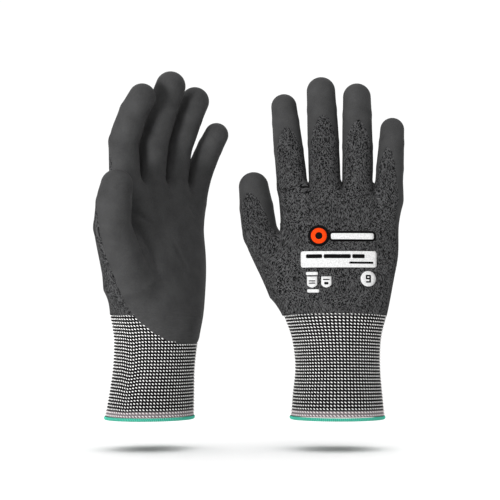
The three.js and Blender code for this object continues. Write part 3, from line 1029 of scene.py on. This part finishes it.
def build_cuff(glove):
    side = glove.side
    rows = COURSES * ROWS + 1
    columns = STITCHES * COLUMNS
    course, stitch = np.meshgrid(np.arange(rows) / ROWS, np.arange(columns) / COLUMNS, indexing="ij")
    turns = stitch / STITCHES
    z = HEM_HEIGHT + (CUFF_TOP + CUFF_OVERLAP - HEM_HEIGHT) * course / COURSES
    shape = dash_shape(stitch, course, -DASH_LEAN if glove.mirrored else DASH_LEAN)
    back = np.clip(-np.cos(2 * math.pi * turns), 0, 1)
    bow = BACK_BOW * back**2 * np.clip(z / CUFF_TOP, 0, 1) ** 0.5
    thumb_edge = np.exp(-(((turns - THUMB_EDGE_TURN) / THUMB_EDGE_WIDTH) ** 2))
    dip = THUMB_EDGE_DIP * thumb_edge * np.sin(math.pi * np.clip(z / CUFF_TOP, 0, 1))
    z_bent = z + bow - dip
    points = oval_ring(z_bent.ravel(), turns.ravel(), CUFF_GROUND + DASH_RELIEF * shape.ravel())
    points = points - ripple_offset(points)
    band = np.interp(course, (BAND_COURSES - 0.4, BAND_COURSES + 0.1), (1, 0))
    faces = grid_faces(rows, columns)
    values = {"rest": points, "dash": shape.ravel(), "band": band.ravel()}
    made = make_object(f"{side}_cuff", points, faces, glove, RIB, values)
    lower, upper = (glove.to_world((0, 0, height)) for height in WRIST_BEND)
    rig.blend(made, f"{side}_cuff", f"{side}_hand", lower, upper)
    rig.replaces(made, f"{side}_ribbed_cuff")
    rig.slot(made, "cuff_rib")


def ripple_offset(points):
    """The fabric's unevenness, as steps outwards from the cuff's middle."""
    cx, cy, _, _, _ = oval_at(points[:, 2])
    outward = np.stack((points[:, 0] - cx, points[:, 1] - cy, np.zeros(len(points))), 1)
    outward /= np.linalg.norm(outward, axis=1)[:, None]
    return outward * ripple(points)[:, None]


def build_hem(glove):
    """Thread wrapped slantwise over the cuff's edge."""
    side = glove.side
    columns = HEM_WRAPS * COLUMNS
    across = np.arange(HEM_PROFILE + 1) / HEM_PROFILE
    around, turns = np.meshgrid(across, np.arange(columns) / columns, indexing="ij")
    bulge = 0.5 + 0.5 * np.cos(2 * math.pi * (turns * HEM_WRAPS + around * HEM_SLANT))
    angle = math.pi * (1.5 * around - 0.25)
    half_wall = HEM_HALF_WALL + HEM_THREAD * bulge
    height = HEM_HEIGHT / 2 + 0.1
    z = height + (height + 0.15 * bulge) * -np.sin(angle)
    grow = CUFF_GROUND + half_wall * np.cos(angle)
    points = oval_ring(np.clip(z, 0, None).ravel(), turns.ravel(), grow.ravel())
    points[:, 2] = z.ravel()
    # The bulge goes in as dash; the thread's material darkens where it is low, as painted shade between the wraps.
    values = {"rest": points, "dash": bulge.ravel()}
    faces = grid_faces(HEM_PROFILE + 1, columns)
    made = make_object(f"{side}_hem", points, faces, glove, THREAD, values)
    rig.ride(made, f"{side}_cuff")
    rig.replaces(made, f"{side}_overlock_hem")
    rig.slot(made, "hem_thread")


# ---------------------------------------------------------------- prints
RING_SPACING = 1.5  # between the rings of a print's mesh
RIM_SINK = -0.3  # the rim of a print ends this far below the knit
PRINT_LIFT = 0.14  # the first film stands this far above the knit
LAYER_LIFT = 0.07  # and each film over it this much more
BEHIND_THE_HAND = -30.0  # a print comes down onto the hand from this y
DROP_ROUNDS = 24  # in this many steps
DROP_SHARE = 0.8  # each this share of the way that is left


def disc_outline(radius, sides=48):
    angle = 2 * math.pi * np.arange(sides) / sides
    return radius * np.stack((np.cos(angle), np.sin(angle)), 1)


def panel_outline(width, height, corner, steps=8):
    points = []
    for x, z, start in ((1, 1, 0), (-1, 1, 90), (-1, -1, 180), (1, -1, 270)):
        for angle in np.radians(start + np.arange(steps + 1) * 90 / steps):
            points.append(
                (
                    x * (width / 2 - corner) + corner * math.cos(angle),
                    z * (height / 2 - corner) + corner * math.sin(angle),
                )
            )
    return densify(np.array(points))


def shield_outline(width, height, steps=10):
    w, top = width / 2, height / 2
    t = np.linspace(0, 1, steps)[:, None]
    left = (1 - t) ** 2 * (-w, -top * 0.3) + 2 * t * (1 - t) * (-w, -top * 0.8) + t**2 * (0, -top)
    right = left[::-1] * (-1, 1)
    return densify(np.concatenate((((w, top), (-w, top)), left, right[1:])))


def densify(outline, longest=1.2):
    """The outline with points added along its long sides."""
    found = []
    for a, b in zip(outline, np.roll(outline, -1, axis=0)):
        steps = max(1, math.ceil(np.linalg.norm(b - a) / longest))
        found.extend(a + (b - a) * i / steps for i in range(steps))
    return np.array(found)


def onto_back(field, flat, lift):
    """Points on the back of the hand at the given x and z, raised by an amount."""
    points = np.column_stack((flat[:, 0], np.full(len(flat), BEHIND_THE_HAND), flat[:, 1]))
    for _ in range(DROP_ROUNDS):
        points[:, 1] += DROP_SHARE * field(points)
    slope = slope_of(field, points)
    normals = slope / np.linalg.norm(slope, axis=1)[:, None]
    return points + normals * lift[:, None]


def patch(field, outline, centre, lift):
    """A thin film inside an outline, laid on the back of the hand. Its rim goes down into the knit."""
    rings = max(2, int(np.abs(outline).max() / RING_SPACING))
    shares = np.linspace(0, 1, rings + 1)[1:]
    count = len(outline)
    flat = np.concatenate([np.zeros((1, 2)), *(outline * share for share in shares), outline])
    lifts = np.concatenate((np.full(1 + rings * count, lift), np.full(count, RIM_SINK)))
    points = onto_back(field, flat + centre, lifts)
    j = np.arange(count)
    k = (j + 1) % count
    faces = [np.stack((0 * j, 1 + j, 1 + k, 1 + k), 1)]
    for ring in range(rings):
        low, high = 1 + ring * count, 1 + (ring + 1) * count
        faces.append(np.stack((low + j, high + j, high + k, low + k), 1))
    return points, np.concatenate(faces)


def build_print(glove, field, name, centre, layers, slot):
    """One print: layers of (outline, offset, material), each a little proud of the last."""
    mirror = -1 if glove.mirrored else 1
    points, faces, materials, indices = [], [], [], []
    total = 0
    for depth, (outline, offset, material) in enumerate(layers):
        at = np.array((centre[0] * mirror, centre[1])) + np.array(offset) * (mirror, 1)
        shape = outline * (mirror, 1)
        if mirror < 0:
            shape = shape[::-1]
        part, quads = patch(field, shape, at, PRINT_LIFT + LAYER_LIFT * min(depth, 2))
        if material not in materials:
            materials.append(material)
        points.append(part)
        faces.extend([tuple(dict.fromkeys(face)) for face in (quads + total).tolist()])
        indices.extend([materials.index(material)] * len(quads))
        total += len(part)
    points = np.concatenate(points)
    mesh = bpy.data.meshes.new(name)
    if glove.mirrored:
        faces = [face[::-1] for face in faces]
    mesh.from_pydata(glove.to_world(points).tolist(), [], faces)
    for material in materials:
        mesh.materials.append(material)
    mesh.polygons.foreach_set("material_index", indices)
    mesh.attributes.new("rest", "FLOAT_VECTOR", "POINT").data.foreach_set(
        "vector", points.astype(np.float32).ravel()
    )
    mesh.shade_smooth()
    made = bpy.data.objects.new(f"{glove.side}_{name}_print", mesh)
    bpy.context.scene.collection.objects.link(made)
    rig.ride(made, f"{glove.side}_hand")
    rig.replaces(made, f"{glove.side}_{name}")
    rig.slot(made, slot)


def bar(width, height, material, at):
    """A layer with rounded ends."""
    return (panel_outline(width, height, min(width, height) * 0.3), at, material)


WORD_GAP = 1.1


def words(widths, height, left, z, material):
    """A row of bars that stands in for a line of lettering."""
    found = []
    x = left
    for width in widths:
        found.append(bar(width, height, material, (x + width / 2, z)))
        x += width + WORD_GAP
    return found


def numeral_nine(size):
    """The numeral as three level strokes and two upright ones."""
    stroke = size * 0.2
    aside = size * 0.24
    level = [bar(size * 0.62, stroke, INK, (0, size * share)) for share in (0.42, 0.02, -0.42)]
    left = bar(stroke, size * 0.55, INK, (-aside, size * 0.22))
    right = bar(stroke, size, INK, (aside, 0))
    return [*level, left, right]


def build_prints(glove):
    field = glove_field(glove)
    badge = [
        (disc_outline(7.8), (0, 0), INK),
        (disc_outline(5.7), (0, 0), ACCENT),
        (disc_outline(2.6), (0, 0), INK),
    ]
    build_print(glove, field, "badge_roundel", (-13.7, 132.6), badge, "print_accent")
    strip = [(panel_outline(34.6, 7.6, 3.2), (0, 0), INK)]
    strip += [bar(31.2, 4.4, WHITE, (0, 0))]
    build_print(glove, field, "name_strip", (10.6, 132.2), strip, "print_white")
    label = [(panel_outline(54.8, 11.8, 1.6), (0, 0), WHITE)]
    label += words((11.5, 19.5, 9.0), 2.9, -23.6, 2.2, INK)
    label += words((17.5,), 1.5, 7.4, -2.5, INK)
    build_print(glove, field, "label_panel", (0.6, 115.4), label, "print_white")
    tabs = [
        (shield_outline(7.2, 8.0), (0, 0), WHITE),
        bar(8.4, 2.3, WHITE, (0, 6.2)),
        bar(8.4, 2.3, WHITE, (0.8, -6.4)),
        bar(4.6, 0.8, INK, (0, 0.8)),
        bar(4.6, 0.8, INK, (0, -0.8)),
    ]
    build_print(glove, field, "shield_mark_a", (-18.9, 98.9), tabs, "print_white")
    mark = [
        (shield_outline(7.2, 8.0), (0, 0), WHITE),
        bar(4.8, 0.8, INK, (0, 1.8)),
        bar(3.0, 1.8, INK, (0, -0.9)),
    ]
    build_print(glove, field, "shield_mark_b", (-8.7, 98.9), mark, "print_white")
    size = [(disc_outline(5.6), (0, 0), WHITE), *numeral_nine(5.4)]
    build_print(glove, field, "size_roundel", (21.7, 101.3), size, "print_white")


# ---------------------------------------------------------------- everything
for side in ("right", "left"):
    glove = Glove(side)
    build_cuff(glove)
    build_hem(glove)
    build_hand(glove)
    build_prints(glove)

floor_mesh = bpy.data.meshes.new("floor")
floor_z = cad_low.z - FLOOR_DROP
middle_x = (cad_low.x + cad_high.x) / 2
rim = [2 * math.pi * i / FLOOR_SIDES for i in range(FLOOR_SIDES)]
corners = [(middle_x + FLOOR_RADIUS * math.cos(t), FLOOR_RADIUS * math.sin(t), floor_z) for t in rim]
floor_mesh.from_pydata(corners, [], [tuple(range(FLOOR_SIDES))])
floor = bpy.data.objects.new("floor", floor_mesh)
bpy.context.scene.collection.objects.link(floor)
paint = Shader("floor_paint", 0.9, 0.0)
paint.surface.inputs["Base Color"].default_value = (0.98, 0.98, 0.98, 1)
floor_mesh.materials.append(paint.material)
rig.stage(floor)

low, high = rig.bounds()
with open("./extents.json", "w") as file:
    json.dump({"cad": [list(cad_low), list(cad_high)], "visual": [list(low), list(high)]}, file)
